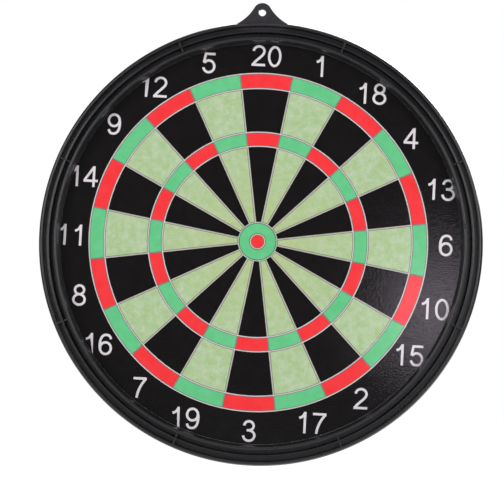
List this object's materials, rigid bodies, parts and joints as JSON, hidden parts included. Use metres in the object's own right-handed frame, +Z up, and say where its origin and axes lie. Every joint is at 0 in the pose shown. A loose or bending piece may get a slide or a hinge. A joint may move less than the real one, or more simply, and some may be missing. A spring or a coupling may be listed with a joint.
{
  "type": "magnetic dartboard",
  "caption": "Round wall-hung magnetic dartboard: black moulded ring with a hanging tab, printed film face over a steel sheet, core board, screwed rear cover and rubber wall pads.",
  "frame": {"origin": "the point on the wall where the axis of the hanging hole meets it, which is where the nail or hook enters", "axes": "+Z up, -Y out of the game face towards the player, +X to the player's right; the middle of the face is 0.221 m below the origin"},
  "size_m": [0.425, 0.026, 0.4427],
  "materials": {
    "frame_plastic": "fine satin texture, injection moulded, black",
    "game_film": "printed and laminated, soft gloss with a slight orange peel",
    "tinplate": "bright cold-rolled sheet",
    "fibreboard": "raw pressed board",
    "cover_plastic": "spark-eroded matt texture, injection moulded, black",
    "zinc_steel": "zinc plated",
    "pad_rubber": "matt, die cut"
  },
  "bodies": {
    "root": {"front_frame": "frame_plastic", "printed_film": "game_film", "steel_sheet": "tinplate", "core_board": "fibreboard", "rear_cover": "cover_plastic", "screw_1": "zinc_steel", "screw_2": "zinc_steel", "screw_3": "zinc_steel", "screw_4": "zinc_steel", "screw_5": "zinc_steel", "screw_6": "zinc_steel", "screw_7": "zinc_steel", "screw_8": "zinc_steel", "wall_pad_1": "pad_rubber", "wall_pad_2": "pad_rubber", "wall_pad_3": "pad_rubber", "wall_pad_4": "pad_rubber"}
  },
  "joints": []
}
